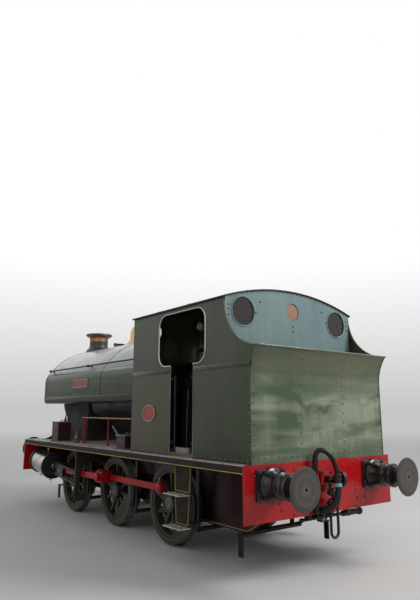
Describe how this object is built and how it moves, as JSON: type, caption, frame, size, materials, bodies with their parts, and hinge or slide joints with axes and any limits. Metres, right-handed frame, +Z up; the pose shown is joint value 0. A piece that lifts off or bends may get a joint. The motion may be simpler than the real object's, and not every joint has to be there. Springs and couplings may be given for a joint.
{
  "type": "steam locomotive",
  "caption": "Six-coupled saddle tank steam locomotive with outside cylinders, closed cab, rear bunker, buffers and screw couplings.",
  "frame": {"origin": "on the centre line midway between the buffer faces, at the height of the wheel flanges' lowest points", "axes": "+X forward to the smokebox end, +Y to the locomotive's left, +Z up"},
  "size_m": [7.51, 2.496, 3.2898],
  "materials": {
    "green_paint": "glossy, weathered dark olive green",
    "cab_back_paint": "satin pale blue-green",
    "black_paint": "satin, oily black",
    "frame_paint": "dark maroon with road dirt",
    "beam_red": "gloss bright red",
    "rod_red": "gloss dark red",
    "wheel_paint": "oily dark olive",
    "plate_paint": "worn dark brown-green",
    "tyre_steel": "worn rolling steel",
    "bright_steel": "polished, oiled",
    "buffer_steel": "worn brown-grey steel",
    "axle_steel": "oily dark steel",
    "brass": "polished",
    "window_glass": "clear",
    "hose_rubber": "ribbed black rubber",
    "floor_timber": "worn boards",
    "plug_brown": "brown primer"
  },
  "bodies": {
    "locomotive": {"ashpan": "black_paint", "axleboxes": "frame_paint", "backhead_fittings": "brass", "boiler": "black_paint", "brake_gear": "black_paint", "brake_hoses": "hose_rubber", "brake_pipes": "black_paint", "buffer_beams": "beam_red", "buffer_heads": "buffer_steel", "buffer_housings": "black_paint", "bunker_rear": "green_paint", "cab_back": "cab_back_paint", "cab_back_plug": "plug_brown", "cab_controls": "bright_steel", "cab_floor": "floor_timber", "cab_front": "green_paint", "cab_roof": "black_paint", "cab_side_left": "green_paint", "cab_side_right": "green_paint", "cab_steps": "plate_paint", "cab_windows": "window_glass", "chimney": "black_paint", "cylinders": "bright_steel", "dome": "brass", "doorway_rails": "bright_steel", "drawhooks": "black_paint", "filler_neck": "green_paint", "firebox": "black_paint", "footplate_fittings": "rod_red", "frame_plates": "frame_paint", "frame_stretchers": "frame_paint", "horn_keeps": "frame_paint", "leaf_springs": "black_paint", "motion_brackets": "plate_paint", "plate_boxes": "frame_paint", "running_plate": "plate_paint", "saddle_tank": "green_paint", "screw_couplings": "black_paint", "slide_bars": "bright_steel", "smokebox": "black_paint", "smokebox_saddle": "black_paint", "tank_handrails": "black_paint"},
    "rear_wheelset": {"axle_rear": "axle_steel", "wheel_centres_rear": "wheel_paint", "tyres_rear": "tyre_steel"},
    "driving_wheelset": {"axle_driving": "axle_steel", "wheel_centres_driving": "wheel_paint", "tyres_driving": "tyre_steel"},
    "front_wheelset": {"axle_front": "axle_steel", "wheel_centres_front": "wheel_paint", "tyres_front": "tyre_steel"},
    "left_coupling_rod": {"coupling_rod_left": "rod_red"},
    "right_coupling_rod": {"coupling_rod_right": "rod_red"},
    "left_crosshead": {"crosshead_left": "bright_steel"},
    "right_crosshead": {"crosshead_right": "bright_steel"},
    "left_connecting_rod": {"connecting_rod_left": "rod_red"},
    "right_connecting_rod": {"connecting_rod_right": "rod_red"},
    "smokebox_door": {"smokebox_door": "black_paint"},
    "tank_lid": {"tank_lid": "black_paint"},
    "firehole_door": {"firehole_door": "black_paint"}
  },
  "joints": [
    {"name": "rear_axle_turn", "type": "hinge", "parent": "locomotive", "child": "rear_wheelset", "pos_m": [-1.274, 0, 0.5235], "axis": [0, 1, 0], "continuous": true},
    {"name": "driving_axle_turn", "type": "hinge", "parent": "locomotive", "child": "driving_wheelset", "pos_m": [0.25, 0, 0.5235], "axis": [0, 1, 0], "continuous": true},
    {"name": "front_axle_turn", "type": "hinge", "parent": "locomotive", "child": "front_wheelset", "pos_m": [1.774, 0, 0.5235], "axis": [0, 1, 0], "continuous": true},
    {"name": "left_coupling_rod_pin", "type": "hinge", "parent": "driving_wheelset", "child": "left_coupling_rod", "pos_m": [0.41996, 0.854, 0.71226], "axis": [0, 1, 0], "continuous": true},
    {"name": "right_coupling_rod_pin", "type": "hinge", "parent": "driving_wheelset", "child": "right_coupling_rod", "pos_m": [0.43876, -0.854, 0.35354], "axis": [0, 1, 0], "continuous": true},
    {"name": "left_crosshead_slide", "type": "slide", "parent": "locomotive", "child": "left_crosshead", "axis": [0.9951, 0, 0.0993], "range_m": [-0.43209, 0.07591]},
    {"name": "left_gudgeon_pin", "type": "hinge", "parent": "left_crosshead", "child": "left_connecting_rod", "pos_m": [1.9198, 0.97, 0.69017], "axis": [0, 1, 0], "range_deg": [-16.29, 3.21]},
    {"name": "right_crosshead_slide", "type": "slide", "parent": "locomotive", "child": "right_crosshead", "axis": [0.9951, 0, 0.0993], "range_m": [-0.41313, 0.09487]},
    {"name": "right_gudgeon_pin", "type": "hinge", "parent": "right_crosshead", "child": "right_connecting_rod", "pos_m": [1.90093, -0.97, 0.68829], "axis": [0, 1, 0], "range_deg": [-2.55, 16.94]},
    {"name": "smokebox_door_hinge", "type": "hinge", "parent": "locomotive", "child": "smokebox_door", "pos_m": [2.994, -0.503, 1.908], "axis": [0, 0, -1], "range_deg": [0, 150]},
    {"name": "tank_lid_hinge", "type": "hinge", "parent": "locomotive", "child": "tank_lid", "pos_m": [1.78, -0.156, 2.972], "axis": [1, 0, 0], "range_deg": [0, 110]},
    {"name": "firehole_door_hinge", "type": "hinge", "parent": "locomotive", "child": "firehole_door", "pos_m": [-1.22, -0.232, 1.508], "axis": [0, 0, 1], "range_deg": [0, 110]}
  ],
  "couplings": [
    {"joint": "rear_axle_turn", "follows": "driving_axle_turn", "ratio": 1},
    {"joint": "front_axle_turn", "follows": "driving_axle_turn", "ratio": 1},
    {"joint": "left_coupling_rod_pin", "follows": "driving_axle_turn", "ratio": -1},
    {"joint": "right_coupling_rod_pin", "follows": "driving_axle_turn", "ratio": -1}
  ]
}
